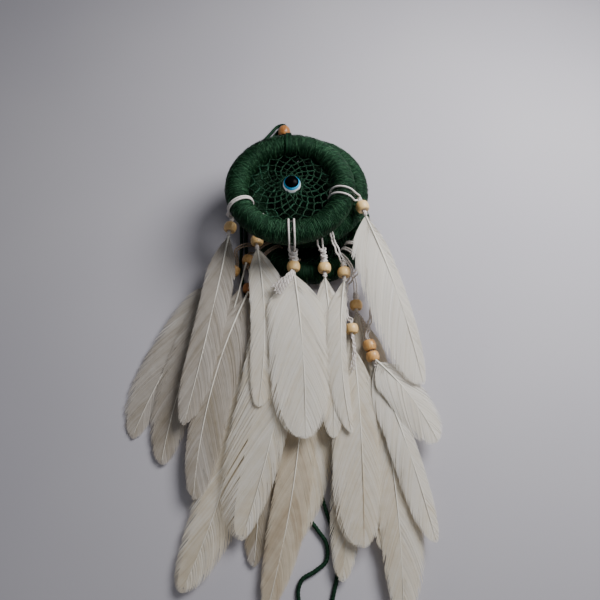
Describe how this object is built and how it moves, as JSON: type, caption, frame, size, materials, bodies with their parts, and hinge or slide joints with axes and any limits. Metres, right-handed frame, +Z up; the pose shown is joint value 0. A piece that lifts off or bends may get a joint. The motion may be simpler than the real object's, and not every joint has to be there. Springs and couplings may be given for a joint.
{
  "type": "dream catcher",
  "caption": "Dream catcher with green yarn-wrapped rings, thread webs, an evil-eye bead, and white feather pendants on wood-beaded cords, laid flat.",
  "frame": {"origin": "centre of the part's outline in plan, on the surface it lies on, measured without the hanging cord and other cords", "axes": "+Z up from the surface, +Y from the feather tips towards the rings and the top bead, +X to the right seen from above with the rings at the top"},
  "size_m": [0.1818, 0.3122, 0.0493],
  "materials": {
    "hoop": "raw cane",
    "yarn": "dark forest green wrapped yarn",
    "thread": "waxed dark green thread",
    "green_cord": "twisted dark green cord",
    "white_cord": "soft white cotton cord",
    "bead_wood": "plain polished wood",
    "eye_glass": "glossy opaque lampwork glass",
    "feather": "soft white and cream feather"
  },
  "bodies": {
    "ring_c": {"wrap_c": "yarn", "hoop_c": "hoop", "web_c": "thread", "top_bead": "bead_wood", "hanging_cord": "green_cord"},
    "ring_b": {"wrap_b": "yarn", "hoop_b": "hoop", "web_b": "thread", "tie_b": "yarn"},
    "ring_a": {"wrap_a": "yarn", "hoop_a": "hoop", "web_a": "thread", "tie_a": "yarn"},
    "eye": {"eye_bead": "eye_glass"},
    "pendant_1": {"cord_1": "white_cord", "bead_1": "bead_wood", "feather_1": "feather"},
    "pendant_2": {"cord_2": "white_cord", "bead_2": "bead_wood", "feather_2_right": "feather", "feather_2_left": "feather"},
    "pendant_3": {"cord_3": "white_cord", "bead_3": "bead_wood", "feather_3": "feather"},
    "pendant_4": {"cord_4": "white_cord", "bead_4": "bead_wood", "feather_4": "feather"},
    "pendant_5": {"cord_5": "white_cord", "bead_5": "bead_wood", "feather_5": "feather"},
    "pendant_6": {"cord_6": "white_cord", "bead_6": "bead_wood", "feather_6": "feather"},
    "pendant_7": {"cord_7": "white_cord", "bead_7": "bead_wood", "feather_7_outer": "feather", "feather_7_inner": "feather"},
    "pendant_8": {"cord_8": "white_cord", "bead_8": "bead_wood", "feather_8_short": "feather", "feather_8_long": "feather"},
    "pendant_9": {"cord_9": "white_cord", "bead_9": "bead_wood", "feather_9_short": "feather", "feather_9_long": "feather"},
    "pendant_10": {"cord_10": "white_cord", "bead_10": "bead_wood", "feather_10_right": "feather", "feather_10_left": "feather"},
    "pendant_11": {"cord_11": "white_cord", "bead_11": "bead_wood", "feather_11": "feather"},
    "pendant_12": {"cord_12": "white_cord", "beads_12": "bead_wood", "feather_12_short": "feather", "feather_12_mid": "feather", "feather_12_long": "feather"},
    "pendant_13": {"cord_13": "white_cord", "bead_13": "bead_wood", "feathers_13": "feather"}
  },
  "joints": [
    {"name": "fold_b", "type": "hinge", "parent": "ring_c", "child": "ring_b", "pos_m": [0.0165, 0.131, 0.008], "axis": [-1, 0, 0], "range_deg": [0, 60]},
    {"name": "fold_a", "type": "hinge", "parent": "ring_b", "child": "ring_a", "pos_m": [0.0065, 0.1205, 0.0289], "axis": [-1, 0, 0], "range_deg": [0, 60]},
    {"name": "eye_turn", "type": "hinge", "parent": "ring_a", "child": "eye", "pos_m": [0.0075, 0.081, 0.03786], "axis": [1, 0, 0], "range_deg": [-30, 30]},
    {"name": "swing_1", "type": "hinge", "parent": "ring_a", "child": "pendant_1", "pos_m": [-0.02296, 0.0653, 0.03896], "axis": [0, 0, 1], "range_deg": [-5, 5]},
    {"name": "swing_2", "type": "hinge", "parent": "ring_a", "child": "pendant_2", "pos_m": [0.00763, 0.0466, 0.04027], "axis": [0, 0, 1], "range_deg": [-5, 5]},
    {"name": "swing_3", "type": "hinge", "parent": "ring_a", "child": "pendant_3", "pos_m": [0.03803, 0.07116, 0.03855], "axis": [0, 0, 1], "range_deg": [-5, 5]},
    {"name": "swing_4", "type": "hinge", "parent": "ring_b", "child": "pendant_4", "pos_m": [0.02336, 0.05472, 0.0215], "axis": [0, 0, 1], "range_deg": [-5, 2]},
    {"name": "swing_5", "type": "hinge", "parent": "ring_b", "child": "pendant_5", "pos_m": [0.02992, 0.05685, 0.0215], "axis": [0, 0, 1], "range_deg": [-5, 5]},
    {"name": "swing_6", "type": "hinge", "parent": "ring_a", "child": "pendant_6", "pos_m": [-0.01351, 0.05345, 0.03979], "axis": [0, 0, 1], "range_deg": [-5, 3.5]},
    {"name": "swing_7", "type": "hinge", "parent": "ring_c", "child": "pendant_7", "pos_m": [-0.01041, 0.05796, 0.0069], "axis": [0, 0, 1], "range_deg": [-2, 2]},
    {"name": "swing_8", "type": "hinge", "parent": "ring_c", "child": "pendant_8", "pos_m": [-0.00846, 0.05325, 0.0069], "axis": [0, 0, 1], "range_deg": [-2, 1.5]},
    {"name": "swing_9", "type": "hinge", "parent": "ring_c", "child": "pendant_9", "pos_m": [-0.00579, 0.0489, 0.0069], "axis": [0, 0, 1], "range_deg": [-1.5, 2]},
    {"name": "swing_10", "type": "hinge", "parent": "ring_c", "child": "pendant_10", "pos_m": [0.04095, 0.04274, 0.0069], "axis": [0, 0, 1], "range_deg": [-3.5, 5]},
    {"name": "swing_11", "type": "hinge", "parent": "ring_c", "child": "pendant_11", "pos_m": [0.0454, 0.04711, 0.0069], "axis": [0, 0, 1], "range_deg": [-2.5, 2.5]},
    {"name": "swing_12", "type": "hinge", "parent": "ring_c", "child": "pendant_12", "pos_m": [0.04893, 0.05224, 0.0069], "axis": [0, 0, 1], "range_deg": [-2, 5]},
    {"name": "swing_13", "type": "hinge", "parent": "ring_c", "child": "pendant_13", "pos_m": [0.00938, 0.03746, 0.0069], "axis": [0, 0, 1], "range_deg": [-5, 4]}
  ]
}
